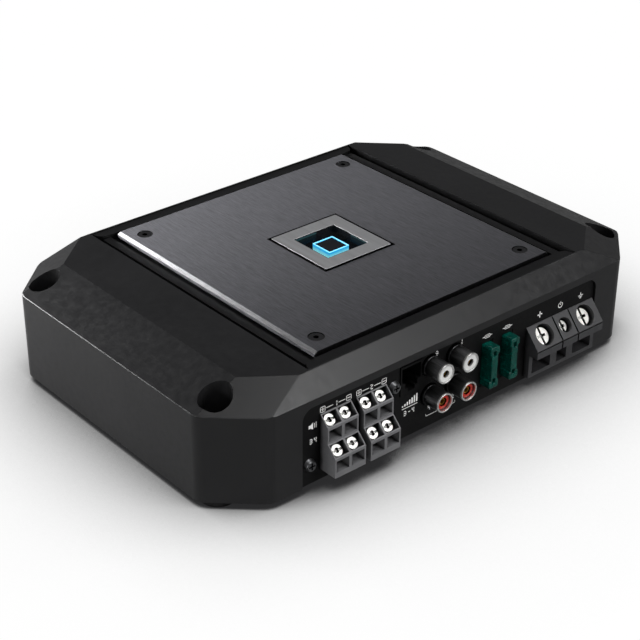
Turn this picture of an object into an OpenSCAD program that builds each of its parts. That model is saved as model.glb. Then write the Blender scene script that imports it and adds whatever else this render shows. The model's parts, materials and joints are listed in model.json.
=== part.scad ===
// Compact four-channel car amplifier with a die-cast housing, a brushed top plate,
// a lit square badge, a connector panel in front and a control panel behind.
// The origin is the centre of the four mounting holes, on the plane that the bosses rest on.
// X runs along the connector panel, the connector panel faces -Y, and Z points up.

/* [Housing] */
// Width over the two end blocks
body_w = 230; // [228:1:234]
// Depth between the front and rear faces
body_d = 155; // [154:1:158]
// Height of the mounting bosses below the housing
boss_h = 3; // [2:0.5:4]
// Height of the upper edge of the upright walls
edge_z = 40.6; // [40:0.1:41.4]
// Height of the crease where the end blocks start to slope down
crease_z = 48.7; // [48:0.1:49.2]
// Height of the ridge beside the centre cover
ridge_z = 49.6; // [49.3:0.1:50]
// Distance of the crease from the middle
crease_x = 95; // [90:1:98]
// Distance of the top of the front bevel from the middle
bevel_y = 72; // [71.8:0.1:73]
// Length of the corner chamfer along X
corner_x = 20; // [18:1:22]
// Length of the corner chamfer along Y
corner_y = 18.5; // [17:0.5:20]
// Radius on the upright corners
corner_r = 7; // [4:1:9]
// Thickness of the cast walls
wall = 3; // [2.5:0.1:3.2]

/* [Mounting] */
// Hole spacing along X
mount_dx = 209; // [208:1:212]
// Hole spacing along Y
mount_dy = 114.4; // [114:0.1:116]
// Diameter of the screw holes
mount_hole_d = 5.5; // [4.5:0.1:6]
// Diameter of the well above each screw hole
well_d = 13.2; // [11:0.1:13.6]
// Diameter of the bosses
boss_d = 14; // [12:0.5:15]

/* [Top plate] */
// Width of the plate with its chamfers
plate_w = 127; // [126:0.5:128]
// Depth of the plate
plate_d = 128.4; // [127:0.1:129]
// Height of the plate's upper face
plate_z = 50.1; // [50:0.1:50.4]
// Thickness of the plate
plate_t = 2.2; // [2:0.1:2.4]
// Distance of the plate screws from the middle along X
plate_screw_x = 55.4; // [54:0.1:56]
// Distance of the plate screws from the middle along Y
plate_screw_y = 55.7; // [54:0.1:56.5]

/* [Badge] */
// Outer side of the square bezel
bezel_w = 35.6; // [34:0.1:37]
// Side of the bezel's opening
bezel_in = 22; // [21:0.1:22.4]
// Outer side of the lit ring
ring_w = 11; // [10:0.1:12]
// Wall of the lit ring
ring_t = 0.6; // [0.5:0.1:1]

/* [Connector panel] */
// Half width of the opening in the front and rear walls
opening_x = 80.3; // [79:0.1:81]
// Height of the opening's upper edge
opening_z = 37.4; // [37:0.1:38]
// Depth of the panel face behind the housing face
panel_recess = 1; // [0.6:0.1:1.4]
// Thickness of the panels
panel_t = 1.5; // [1.2:0.1:1.6]

/* [Speaker terminals] */
// Width of one two-column block
spk_w = 15.2; // [15:0.1:15.6]
// Left edge of the left block
spk_left_x = -71; // [-72:0.1:-70.5]
// Left edge of the right block
spk_right_x = -53.2; // [-54:0.1:-52.6]
// Height of the blocks' upper edge
spk_top_z = 32.2; // [31.8:0.1:32.6]
// Height of the blocks' lower edge
spk_low_z = 7.8; // [7.6:0.1:8.4]

/* [Power terminals] */
// Left edge of the power block
pow_x = 39.6; // [39:0.1:40]
// Width of the battery and ground cells
pow_cell_w = 15.2; // [15:0.1:15.3]
// Width of the remote cell
pow_mid_w = 9.6; // [9.4:0.1:9.8]
// Height of the block's upper edge
pow_top_z = 27.6; // [27:0.1:28]

/* [Sockets and fuses] */
// X of the left column of phono sockets
rca_x = -14.8; // [-15:0.1:-14.5]
// Spacing of the phono sockets both ways
rca_pitch = 13.2; // [13:0.1:13.5]
// Height of the lower phono sockets
rca_z = 18.1; // [17.8:0.1:18.4]
// How far the phono sockets stand out of the panel
rca_reach = 9; // [8:0.1:9]
// X of the level control socket
jack_x = -25.2; // [-25.4:0.1:-25]
// X of the left fuse
fuse_x = 16.6; // [16.2:0.1:17]
// Spacing of the fuses
fuse_pitch = 11.4; // [11:0.1:12]
// Height of the fuses' middle
fuse_z = 20; // [19.6:0.1:20.4]

/* [Controls] */
// Height of the knobs and switches on the rear panel
control_z = 20; // [19:0.5:21]
// Distance of the middle of each control group from the centre
control_x = 44; // [42:0.5:46]
// Spacing from a switch to the knob beside it
control_pitch = 14; // [13:0.5:15]
// Diameter of the knobs
knob_d = 9.2; // [8:0.1:9.6]

/* [Hidden] */

$fn = 48;
fine = 64;
cut = 1;           // how far a cutter runs past the surface it opens
half_w = body_w / 2;
half_d = body_d / 2;
arc_steps = 5;

// Colours
cast_black = "#2c2c2e";
trim_black = "#1e1e20";
panel_black = "#151517";
block_grey = "#4a4a4c";
nickel = "#c9c9c4";
anodised = "#5a5a5e";
silver = "#a9a9ab";
steel_grey = "#77787a";

// Pocket for the centre cover, and the deck under it
pocket_x = 72.5;
pocket_y = bevel_y - 0.8;
ridge_x = pocket_x + 1.2;
deck_z = 44.4;
deck_t = 2.5;
deck_half_x = pocket_x + wall;
roof_drop = 3.5;   // vertical thickness of the sloping roof

// Front and rear openings
opening_r = 5;
rebate = 2.5;      // how far the panels reach past the opening on each side
rebate_z = opening_z + 2;
panel_face = half_d - panel_recess;
panel_back = panel_face - panel_t;
panel_gap = 0.3;

// Bottom cover and circuit board
cover_t = 1.2;
cover_z = boss_h;
cover_gap = 0.4;
board_z = 7;
board_t = 1.6;
board_top = board_z + board_t;
board_half_x = 90.5;
board_front = 66;
board_rear = 72;
board_post = [87, 50];
cover_post = [101, 24];
post_r = 3.4;

// Case screws
screw_r = 1.45;
screw_hole_r = 1.7;
screw_head_r = 2.7;
screw_head_h = 1.8;
tapped_r = 1.5;
front_screw_spots = [[-34.1, 29], [-76.3, 11.9]];
rear_screw_spots = [[70, control_z], [-70, control_z]];

// Speaker terminals
spk_cell = spk_w / 2;
tier_run = 4.4;
tier_step = 11.4;
spk_rear = 60;
spk_tilt = 45;

// Power terminals
pow_w = 2 * pow_cell_w + pow_mid_w;
pow_run = 7.2;
pow_drop = 8.4;
pow_tilt = atan2(pow_drop, pow_run);
pow_nose_h = 3.8;
pow_low_z = 4.6;
pow_set_back = 4.4;
pow_rear = 58.5;
pow_screw_x = [
    pow_x + pow_cell_w / 2,
    pow_x + pow_cell_w + pow_mid_w / 2,
    pow_x + 1.5 * pow_cell_w + pow_mid_w
];

// ---------- helpers ----------

function unit(v) = v / norm(v);

// Points of the arc that rounds the corner p between its neighbours a and b
function corner_arc(a, p, b, r, steps) =
    let (u = unit(a - p), v = unit(b - p), half = acos(u * v) / 2)
    let (c = p + unit(u + v) * r / sin(half), t = p + u * r / tan(half) - c)
    let (start = atan2(t.y, t.x), sweep = 180 - 2 * half)
    [for (i = [0:steps]) c + r * [cos(start + sweep * i / steps), sin(start + sweep * i / steps)]];

// A convex outline, counter-clockwise, with every corner rounded
function rounded(points, r, steps) =
    let (n = len(points))
    [for (i = [0:n - 1]) each corner_arc(points[(i + n - 1) % n], points[i], points[(i + 1) % n], r, steps)];

// Plan outline of the housing, moved inwards by inset
function plan(inset) =
    let (w = half_w - inset, d = half_d - inset, len = norm([corner_x, corner_y]))
    let (k = (corner_y * half_w + corner_x * (half_d - corner_y)) / len - inset)
    let (y = (k * len - corner_y * w) / corner_x, x = (k * len - corner_x * d) / corner_y)
    [[w, -y], [w, y], [x, d], [-x, d], [-w, y], [-w, -y], [-x, -d], [x, -d]];

module at_corners(x, y) {
    for (sx = [-1, 1])
        for (sy = [-1, 1])
            translate([sx * x, sy * y, 0])
                children();
}

module plate(w, d, z0, z1) {
    translate([-w / 2, -d / 2, z0])
        cube([w, d, z1 - z0]);
}

// An outline in Y and Z, drawn out along X from x0
module along_x(x0, length) {
    translate([x0, 0, 0])
        rotate([90, 0, 90])
            linear_extrude(length)
                children();
}

// An outline in X and Z, drawn out along Y from y0 towards +Y
module along_y(y0, length) {
    translate([0, y0 + length, 0])
        rotate([90, 0, 0])
            linear_extrude(length)
                children();
}

// A cylinder along Y between y0 and y1
module rod_y(x, z, r, y0, y1) {
    translate([x, y1, z])
        rotate([90, 0, 0])
            cylinder(r = r, h = y1 - y0, $fn = fine);
}

// ---------- housing ----------

module end_profile(drop) {
    polygon([
        [-half_w - 1, 0], [half_w + 1, 0],
        [half_w + 1, edge_z - drop - (crease_z - edge_z) / (half_w - crease_x)],
        [crease_x, crease_z - drop], [ridge_x, ridge_z - drop],
        [-ridge_x, ridge_z - drop], [-crease_x, crease_z - drop],
        [-half_w - 1, edge_z - drop - (crease_z - edge_z) / (half_w - crease_x)]
    ]);
}

module bevel_profile(drop) {
    polygon([
        [-half_d, 0], [half_d, 0], [half_d, edge_z - drop], [bevel_y, ridge_z - 0.2 - drop],
        [bevel_y, ridge_z + 1 - drop], [-bevel_y, ridge_z + 1 - drop],
        [-bevel_y, ridge_z - 0.2 - drop], [-half_d, edge_z - drop]
    ]);
}

// Takes off the four corners above the sloping corner facets
module corner_facets(drop) {
    turn = atan2(corner_x, corner_y);
    reach = cos(turn) * (corner_x / 2) + sin(turn) * (half_d - corner_y / 2 - mount_dy / 2);
    slope = atan2(crease_z - edge_z, reach);
    for (sx = [0, 1])
        for (sy = [0, 1])
            mirror([sx, 0, 0])
                mirror([0, sy, 0])
                    translate([half_w - corner_x / 2, half_d - corner_y / 2, edge_z - drop])
                        rotate([0, slope, turn])
                            translate([-30, -30, 0])
                                cube([60, 60, 30]);
}

module body_form(inset, drop, z0) {
    difference() {
        intersection() {
            translate([0, 0, z0])
                linear_extrude(ridge_z)
                    polygon(rounded(plan(inset), corner_r - inset, arc_steps));
            along_y(-half_d - 1, body_d + 2)
                end_profile(drop);
            along_x(-half_w - 1, body_w + 2)
                bevel_profile(drop);
        }
        corner_facets(drop);
    }
}

module wall_opening(side) {
    mirror([0, side, 0]) {
        translate([0, -half_d - cut, 0])
            along_y(0, wall + 2 * cut)
                polygon(concat(
                    [[-opening_x, 0], [opening_x, 0]],
                    corner_arc([opening_x, 0], [opening_x, opening_z], [-opening_x, opening_z], opening_r, 8),
                    corner_arc([opening_x, opening_z], [-opening_x, opening_z], [-opening_x, 0], opening_r, 8)
                ));
        translate([-opening_x - rebate, -panel_face, 0])
            cube([2 * (opening_x + rebate), wall, rebate_z]);
    }
}

// Ribs and posts inside the casting, clear of the board and the panels
module inner_posts() {
    rib_top = ridge_z - 4;
    at_corners(board_post.x, board_post.y)
        translate([0, 0, board_top])
            cylinder(r = post_r, h = rib_top - board_top);
    at_corners(cover_post.x, cover_post.y)
        translate([0, 0, cover_z + cover_t])
            cylinder(r = post_r, h = edge_z - cover_z);
    for (sx = [-1, 1])
        translate([sx * 93 - 1.5, -40, 12])
            cube([3, 80, rib_top - 12]);
    for (sx = [-1, 1])
        translate([sx * rear_screw_spots[0].x - 3.5, 66, control_z - 5])
            cube([7, panel_back - 66, deck_z - deck_t - control_z + 5.5]);
    translate([front_screw_spots[0].x - 2.5, -panel_back, front_screw_spots[0].y - 4])
        cube([5, 7, deck_z - deck_t - front_screw_spots[0].y + 4.5]);
    translate([-92, -panel_back, front_screw_spots[1].y - 3])
        cube([19.2, 7, 6]);
}

module tapped_holes() {
    at_corners(board_post.x, board_post.y)
        translate([0, 0, board_top - cut])
            cylinder(r = tapped_r, h = 8 + cut);
    at_corners(cover_post.x, cover_post.y)
        translate([0, 0, cover_z])
            cylinder(r = tapped_r, h = 9);
    for (spot = front_screw_spots)
        rod_y(spot.x, spot.y, tapped_r, -panel_back - cut, -panel_back + 6);
    for (spot = rear_screw_spots)
        rod_y(spot.x, spot.y, tapped_r, panel_back - 6, panel_back + cut);
    at_corners(plate_screw_x, plate_screw_y)
        translate([0, 0, deck_z - deck_t - cut])
            cylinder(r = tapped_r, h = deck_t + 2 * cut);
}

// The whole die casting: walls, roof and deck with their posts and mounting wells
module casting() {
    well_floor = 8;
    light_window = 25;
    difference() {
        union() {
            difference() {
                body_form(0, 0, boss_h);
                difference() {
                    body_form(wall, roof_drop, -cut);
                    plate(2 * deck_half_x, body_d, deck_z - deck_t, ridge_z);
                }
            }
            intersection() {
                union() {
                    at_corners(mount_dx / 2, mount_dy / 2)
                        cylinder(d = well_d + 2 * (wall - 0.8), h = ridge_z);
                    inner_posts();
                }
                body_form(0, 0, boss_h);
            }
            at_corners(mount_dx / 2, mount_dy / 2)
                cylinder(d = boss_d, h = boss_h + cut);
        }
        plate(2 * pocket_x, 2 * pocket_y, deck_z, ridge_z + 2);
        plate(light_window, light_window, deck_z - deck_t - cut, deck_z + cut);
        at_corners(mount_dx / 2, mount_dy / 2) {
            translate([0, 0, well_floor])
                cylinder(d = well_d, h = ridge_z);
            translate([0, 0, -cut])
                cylinder(d = mount_hole_d, h = well_floor + 2 * cut);
        }
        wall_opening(0);
        wall_opening(1);
        tapped_holes();
    }
}

// The casting's four corners are a node of their own, so that each mounting well has simple walls round it
corner_cut = [94, 46];

module corner_regions() {
    for (sx = [0, 1])
        for (sy = [0, 1])
            mirror([sx, 0, 0])
                mirror([0, sy, 0])
                    translate([corner_cut.x, corner_cut.y, -cut])
                        cube([half_w, half_d, ridge_z + 2 * cut]);
}

module housing() {
    color(cast_black)
        difference() {
            casting();
            corner_regions();
        }
}

module housing_corners() {
    color(cast_black)
        intersection() {
            casting();
            corner_regions();
        }
}

module bottom_cover() {
    color(steel_grey)
        translate([0, 0, cover_z])
            linear_extrude(cover_t)
                difference() {
                    polygon(rounded(plan(wall + cover_gap), corner_r - wall - cover_gap, arc_steps));
                    at_corners(mount_dx / 2, mount_dy / 2)
                        circle(d = well_d + 2 * wall);
                    at_corners(cover_post.x, cover_post.y)
                        circle(r = screw_hole_r);
                }
}

// ---------- cover, plate and badge ----------

cover_floor = 46.4;
rim_z = 48;
rim_in = 65.8;
rim_out = 69.6;
lip_z = 49.2;
lip_in_y = 66;
plate_low = plate_z - plate_t;

// The raised lip in front of the plate, with a rounded end at each side
module lip_outline(x_out, y_out) {
    x_in = plate_w / 2 + 1;
    shoulder = [x_out - 1.6, -lip_in_y - 0.8];
    end = corner_arc([x_out, -y_out], shoulder, [x_in, -lip_in_y], 3.4, arc_steps);
    polygon(concat(
        [[x_out, -y_out]],
        end,
        [[x_in, -lip_in_y], [-x_in, -lip_in_y]],
        [for (i = [len(end) - 1:-1:0]) [-end[i].x, end[i].y]],
        [[-x_out, -y_out]]
    ));
}

module centre_cover() {
    slab_x = pocket_x - panel_gap;
    slab_y = pocket_y - panel_gap;
    color(trim_black)
        difference() {
            union() {
                plate(2 * slab_x, 2 * slab_y, deck_z, cover_floor);
                plate(plate_w - 4, plate_d - 4, deck_z, plate_low);
                for (sx = [0, 1])
                    mirror([sx, 0, 0])
                        translate([rim_in, -lip_in_y, deck_z])
                            cube([rim_out - rim_in, 2 * lip_in_y, rim_z - deck_z]);
                for (sy = [0, 1])
                    mirror([0, sy, 0])
                        translate([0, 0, deck_z])
                            linear_extrude(lip_z - deck_z)
                                lip_outline(slab_x - 0.4, slab_y);
            }
            plate(24.4, 24.4, deck_z - cut, plate_z);
            at_corners(plate_screw_x, plate_screw_y)
                translate([0, 0, deck_z - cut])
                    cylinder(r = screw_hole_r, h = plate_t + 6);
        }
}

bezel_gap = 0.8;

module top_plate() {
    chamfer_w = 1.5;
    chamfer_h = 0.9;
    color(anodised)
        difference() {
            along_y(-plate_d / 2, plate_d)
                polygon([
                    [-plate_w / 2, plate_low], [plate_w / 2, plate_low],
                    [plate_w / 2, plate_z - chamfer_h], [plate_w / 2 - chamfer_w, plate_z],
                    [-plate_w / 2 + chamfer_w, plate_z], [-plate_w / 2, plate_z - chamfer_h]
                ]);
            plate(bezel_w + 2 * bezel_gap, bezel_w + 2 * bezel_gap, plate_low - cut, plate_z + cut);
            at_corners(plate_screw_x, plate_screw_y) {
                translate([0, 0, plate_low - cut])
                    cylinder(r = screw_hole_r, h = plate_t + 2 * cut);
                translate([0, 0, plate_z - 1.5])
                    cylinder(r1 = screw_hole_r, r2 = 3.2, h = 1.5);
                translate([0, 0, plate_z - 0.001])
                    cylinder(r = 3.2, h = cut);
            }
        }
}

module plate_screws() {
    top = plate_z - 0.15;
    color("#3a3a3c")
        at_corners(plate_screw_x, plate_screw_y)
            difference() {
                union() {
                    translate([0, 0, top - 1.5])
                        cylinder(r1 = screw_r, r2 = 2.95, h = 1.5);
                    translate([0, 0, deck_z - deck_t + 0.3])
                        cylinder(r = screw_r, h = top - 1.4 - (deck_z - deck_t + 0.3));
                }
                translate([0, 0, top - 1.1])
                    cylinder(r = 1.25, h = 2, $fn = 6);
            }
}

module square_tube(outer, inner, r, z0, z1) {
    translate([0, 0, z0])
        linear_extrude(z1 - z0)
            difference() {
                polygon(rounded(square_points(outer), r, arc_steps));
                square(inner, center = true);
            }
}

function square_points(w) = [[w / 2, -w / 2], [w / 2, w / 2], [-w / 2, w / 2], [-w / 2, -w / 2]];

badge_floor = 46;

module badge_bezel() {
    color(silver)
        square_tube(bezel_w, bezel_in, 0.5, plate_low, plate_z + 0.35);
}

module badge_base() {
    color("#101216")
        difference() {
            union() {
                plate(24, 24, deck_z, plate_low - 0.1);
                plate(bezel_in - 0.1, bezel_in - 0.1, deck_z, plate_z + 0.1);
            }
            plate(bezel_in - 0.9, bezel_in - 0.9, badge_floor, plate_z + cut);
        }
}

module light_ring() {
    color("#28b8ff")
        square_tube(ring_w, ring_w - 2 * ring_t, 0.5, badge_floor, badge_floor + 2.9);
}

module badge_cap() {
    color("#0c0d10")
        plate(ring_w - 2 * ring_t - 0.2, ring_w - 2 * ring_t - 0.2, badge_floor, badge_floor + 2.7);
}

// ---------- panels ----------

module panel_outline() {
    x = opening_x + rebate - panel_gap;
    polygon([[-x, boss_h + 0.1], [x, boss_h + 0.1], [x, rebate_z - panel_gap], [-x, rebate_z - panel_gap]]);
}

module box_2d(x0, x1, z0, z1) {
    translate([x0, z0])
        square([x1 - x0, z1 - z0]);
}

module rca_spots() {
    for (ix = [0, 1])
        for (iz = [0, 1])
            translate([rca_x + ix * rca_pitch, rca_z + iz * rca_pitch])
                children();
}

module connector_panel() {
    gap = 0.25;
    color(panel_black)
        along_y(-panel_face, panel_t)
            difference() {
                panel_outline();
                for (x = [spk_left_x, spk_right_x])
                    box_2d(x - gap, x + spk_w + gap, spk_low_z - gap, spk_top_z + gap);
                box_2d(jack_x - jack_half - gap, jack_x + jack_half + gap, jack_low - gap, jack_low + jack_h + gap);
                rca_spots()
                    circle(r = 4.9);
                for (i = [0, 1])
                    box_2d(fuse_x + i * fuse_pitch - 3.4, fuse_x + i * fuse_pitch + 3.4, fuse_z - 10.4, fuse_z + 10.4);
                box_2d(pow_x - gap, pow_x + pow_w + gap, pow_low_z - gap, pow_top_z + gap);
                for (spot = front_screw_spots)
                    translate(spot)
                        circle(r = screw_hole_r);
            }
}

module control_panel() {
    color(panel_black)
        along_y(panel_back, panel_t)
            difference() {
                panel_outline();
                for (side = [-1, 1]) {
                    for (k = [-1, 1])
                        translate([side * control_x + k * control_pitch, control_z])
                            circle(d = knob_d + 1);
                    box_2d(side * control_x - 4.4, side * control_x + 4.4, control_z - 1.8, control_z + 1.8);
                }
                for (spot = rear_screw_spots)
                    translate(spot)
                        circle(r = screw_hole_r);
            }
}

// A pan-head cross-recess screw pointing down, with its head's seat at z = 0
module case_screw(length) {
    difference() {
        union() {
            translate([0, 0, -length])
                cylinder(r = screw_r, h = length + 0.1);
            cylinder(r1 = screw_head_r, r2 = screw_head_r - 0.7, h = screw_head_h);
        }
        for (turn = [0, 90])
            rotate(turn)
                translate([-1.5, -0.35, screw_head_h - 1])
                    cube([3, 0.7, 2]);
    }
}

module case_screws() {
    color(steel_grey) {
        at_corners(cover_post.x, cover_post.y)
            translate([0, 0, cover_z])
                rotate([180, 0, 0])
                    case_screw(7);
        at_corners(board_post.x, board_post.y)
            translate([0, 0, board_z])
                rotate([180, 0, 0])
                    case_screw(7);
        for (spot = front_screw_spots)
            translate([spot.x, -panel_face, spot.y])
                rotate([90, 0, 0])
                    case_screw(6);
        for (spot = rear_screw_spots)
            translate([spot.x, panel_face, spot.y])
                rotate([-90, 0, 0])
                    case_screw(6);
    }
}

// ---------- screw terminals ----------
// Each terminal has a captive screw in a well and a clamp that rises towards the screw's head.
// The local frame has its origin on the sloping face and +Z along the screw, out of the block.

module on_slope(x, y, z, tilt) {
    translate([x, y, z])
        rotate([tilt, 0, 0])
            children();
}

seat_gap = 0.1;        // between a screw's head and its ledge
thread_gap = 0.06;     // around a screw, in its clamp and its ledge

// Speaker terminals are numbered along the upper and then the lower row of each block
function spk_x(n) = (n <= 4 ? spk_left_x : spk_right_x) + spk_cell * (0.5 + (n - 1) % 2);
function spk_tier(n) = floor(((n - 1) % 4) / 2);
function spk_y(n) = -panel_face - tier_run * (0.5 + spk_tier(n));
function spk_z(n) = spk_top_z - tier_run / 2 - tier_step * spk_tier(n);

spk_head_r = 2.35;
spk_head_h = 1.4;
spk_head_in = 1.9;     // depth of the head below the sloping face
spk_ledge = 0.9;
spk_room_w = 6.6;      // the square-cornered room that the clamp rises in
spk_room_d = 5.2;
spk_room_end = 12;
spk_clamp_w = 6.2;
spk_clamp_d = 4.8;
spk_clamp_start = 6.6;
spk_clamp_len = 5;
spk_shaft_r = 1.45;

pow_head_h = 2.6;
pow_head_in = 2.4;
pow_ledge = 1.5;
pow_room_end = 21;
pow_clamp_start = 12.4;
pow_clamp_len = 8.4;
pow_shaft_r = [2.95, 1.95, 2.95];
pow_head_r = [3.7, 2.5, 3.7];
pow_well_r = [4.7, 3.3, 4.7];
pow_clamp_w = [10.6, 6, 10.6];
pow_clamp_d = 6.8;

module terminal_screw(head_r, head_h, head_in, shaft_r, shaft_end) {
    seat = head_in + head_h;
    difference() {
        union() {
            translate([0, 0, -seat])
                cylinder(r = head_r, h = head_h);
            translate([0, 0, -shaft_end])
                cylinder(r = shaft_r, h = shaft_end - seat + 0.1);
        }
        children();
    }
}

module terminal_clamp(w, d, start, length, plate_h, base_h, side, hole_r) {
    difference() {
        translate([-w / 2, -d / 2, -start - length])
            cube([w, d, length]);
        translate([0, 0, -start - plate_h - cut])
            cylinder(r = hole_r, h = plate_h + 2 * cut);
        translate([-w / 2 + side, -d / 2 - cut, -start - length + base_h])
            cube([w - 2 * side, d + 2 * cut, length - plate_h - base_h]);
    }
}

module terminal_room(w, d, seat, ledge, room_end, hole_r) {
    translate([0, 0, -seat - ledge - cut])
        cylinder(r = hole_r, h = ledge + 2 * cut);
    translate([-w / 2, -d / 2, -room_end])
        cube([w, d, room_end - seat - ledge]);
}

module speaker_block(x0) {
    front = panel_face + 2 * tier_run;
    step = panel_face + tier_run;
    port_w = 6.2;
    port_h = 5;
    seat = spk_head_in + spk_head_h + seat_gap;
    color(block_grey)
        difference() {
            along_x(x0, spk_w)
                polygon([
                    [-front, spk_low_z], [-panel_back, spk_low_z],
                    [-panel_back, board_top], [-spk_rear, board_top], [-spk_rear, spk_top_z],
                    [-panel_face, spk_top_z], [-step, spk_top_z - tier_run], [-step, spk_top_z - tier_step],
                    [-front, spk_top_z - tier_step - tier_run]
                ]);
            for (n = (x0 == spk_left_x ? [1:4] : [5:8])) {
                on_slope(spk_x(n), spk_y(n), spk_z(n), spk_tilt) {
                    translate([-spk_room_w / 2, -spk_room_d / 2, -seat])
                        cube([spk_room_w, spk_room_d, seat + cut]);
                    terminal_room(spk_room_w, spk_room_d, seat, spk_ledge, spk_room_end, spk_shaft_r + thread_gap);
                }
                translate([spk_x(n) - port_w / 2, spk_y(n) - tier_run, spk_z(n) - 8.4])
                    cube([port_w, tier_run + 6, port_h]);
            }
        }
}

module speaker_screw(n) {
    color(nickel)
        on_slope(spk_x(n), spk_y(n), spk_z(n), spk_tilt)
            terminal_screw(spk_head_r, spk_head_h, spk_head_in, spk_shaft_r, spk_clamp_start + 1.2) {
                translate([0, 0, -spk_head_in - 1.3])
                    cylinder(r = 1.1, h = 2);
                translate([-3, -0.45, -spk_head_in - 0.7])
                    cube([6, 0.9, 2]);
            }
}

module speaker_clamp(n) {
    color(nickel)
        on_slope(spk_x(n), spk_y(n), spk_z(n), spk_tilt)
            terminal_clamp(
                spk_clamp_w, spk_clamp_d, spk_clamp_start, spk_clamp_len,
                1, 0.9, 0.7, spk_shaft_r + thread_gap
            );
}

pow_y = -panel_face - pow_run / 2;
pow_z = pow_top_z - pow_drop / 2;

module power_block() {
    nose = panel_face + pow_run;
    nose_top = pow_top_z - pow_drop;
    lower = nose - pow_set_back;
    seat = pow_head_in + pow_head_h + seat_gap;
    port_w = [11, 6, 11];
    color(block_grey)
        difference() {
            along_x(pow_x, pow_w)
                polygon([
                    [-lower, pow_low_z], [-panel_back, pow_low_z], [-panel_back, pow_low_z + 0.4],
                    [-pow_rear, pow_low_z + 0.4], [-pow_rear, pow_top_z], [-panel_face, pow_top_z],
                    [-nose, nose_top], [-nose, nose_top - pow_nose_h], [-lower, nose_top - pow_nose_h]
                ]);
            for (i = [0:2]) {
                on_slope(pow_screw_x[i], pow_y, pow_z, pow_tilt) {
                    translate([0, 0, -seat])
                        cylinder(r = pow_well_r[i], h = seat + 4);
                    terminal_room(
                        pow_clamp_w[i] + 0.4, pow_clamp_d + 0.4,
                        seat, pow_ledge, pow_room_end, pow_shaft_r[i] + thread_gap
                    );
                }
                translate([pow_screw_x[i] - port_w[i] / 2, -lower - cut, pow_low_z + 1.6])
                    cube([port_w[i], 11 + cut, 8.2]);
            }
            // grooves between the cells, and the seam above the nose
            for (x = [pow_x + pow_cell_w, pow_x + pow_cell_w + pow_mid_w])
                along_x(x - 0.35, 0.7)
                    polygon([
                        [-panel_face, pow_top_z + cut], [-nose - cut, pow_top_z + cut],
                        [-nose - cut, nose_top - pow_nose_h - cut], [-nose + 0.9, nose_top - pow_nose_h - cut],
                        [-nose + 0.9, nose_top - 0.3], [-panel_face, pow_top_z - 1.3]
                    ]);
            translate([pow_x - cut, -nose - cut, nose_top - 0.7])
                cube([pow_w + 2 * cut, cut + 0.6, 0.7]);
        }
}

module power_screw(i) {
    slot = 1.1;
    color(nickel)
        on_slope(pow_screw_x[i], pow_y, pow_z, pow_tilt)
            terminal_screw(pow_head_r[i], pow_head_h, pow_head_in, pow_shaft_r[i], pow_clamp_start + 2)
                translate([0, 0, -pow_head_in - 1.4]) {
                    cylinder(r = slot, h = 3);
                    translate([-slot / 2, -5, 0])
                        cube([slot, 10, 3]);
                    translate([-pow_head_r[i] * 0.6, -slot / 2, 0])
                        cube([pow_head_r[i] * 1.2, slot, 3]);
                }
}

module power_clamp(i) {
    color(nickel)
        on_slope(pow_screw_x[i], pow_y, pow_z, pow_tilt)
            terminal_clamp(
                pow_clamp_w[i], pow_clamp_d, pow_clamp_start, pow_clamp_len,
                1.6, 1.4, 0.8, pow_shaft_r[i] + thread_gap
            );
}

// ---------- sockets and fuses ----------

jack_low = 23.2;
jack_h = 13;
jack_half = 5.6;

module level_socket() {
    front = panel_face + 0.4;
    depth = 15;
    color(panel_black)
        difference() {
            union() {
                translate([jack_x - jack_half, -front, jack_low])
                    cube([2 * jack_half, depth, jack_h]);
                translate([jack_x - jack_half, -panel_back, board_top])
                    cube([2 * jack_half, depth - 2.2, jack_low - board_top + 1]);
            }
            // the plug's room, with the stepped recess for its latch below
            translate([jack_x - 4.9, -front - cut, jack_low + 5.2])
                cube([9.8, 12, 6.8]);
            translate([jack_x - 3.2, -front - cut, jack_low + 2.8])
                cube([6.4, 12, 3]);
            translate([jack_x - 1.9, -front - cut, jack_low + 1.2])
                cube([3.8, 9, 3]);
        }
}

rca_r = 4.15;
rca_in = 3.5;
rca_front = panel_face + rca_reach;

module rca_body() {
    side = 4.5;
    z_high = rca_z + rca_pitch + 6.2;
    color(panel_black)
        difference() {
            translate([rca_x - side, -panel_back + 0.1, board_top])
                cube([rca_pitch + 2 * side, 13, z_high - board_top]);
            along_y(-panel_back, 12)
                rca_spots()
                    circle(r = rca_in - 0.4, $fn = fine);
        }
}

module rca_tube(r_out, r_in, y0, y1) {
    along_y(-y1, y1 - y0)
        difference() {
            circle(r = r_out, $fn = fine);
            circle(r = r_in, $fn = fine);
        }
}

module rca_shells() {
    color(nickel)
        for (ix = [0, 1])
            for (iz = [0, 1])
                translate([rca_x + ix * rca_pitch, 0, rca_z + iz * rca_pitch]) {
                    rca_tube(rca_r, rca_in, panel_back, rca_front);
                    rca_tube(rca_r + 0.25, rca_r - 0.05, panel_back, panel_back + 2.6);
                }
}

module rca_insert(ix, iz, bore_r, set_in) {
    translate([rca_x + ix * rca_pitch, 0, rca_z + iz * rca_pitch])
        rca_tube(rca_in - 0.03, bore_r, panel_back + 0.2, rca_front - set_in);
}

module rca_inserts_white() {
    color("#e8e8e6")
        for (ix = [0, 1])
            rca_insert(ix, 1, 1.6, 0.25);
}

module rca_inserts_red() {
    color("#c0261c")
        for (ix = [0, 1])
            rca_insert(ix, 0, 1.9, 1.2);
}

fuse_w = 5.1;
fuse_h = 19.1;
fuse_out = 5;
fuse_body = 12;
blade_t = 0.65;
blade_w = 5;
blade_z = 6.4;
blade_len = 7;

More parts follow.
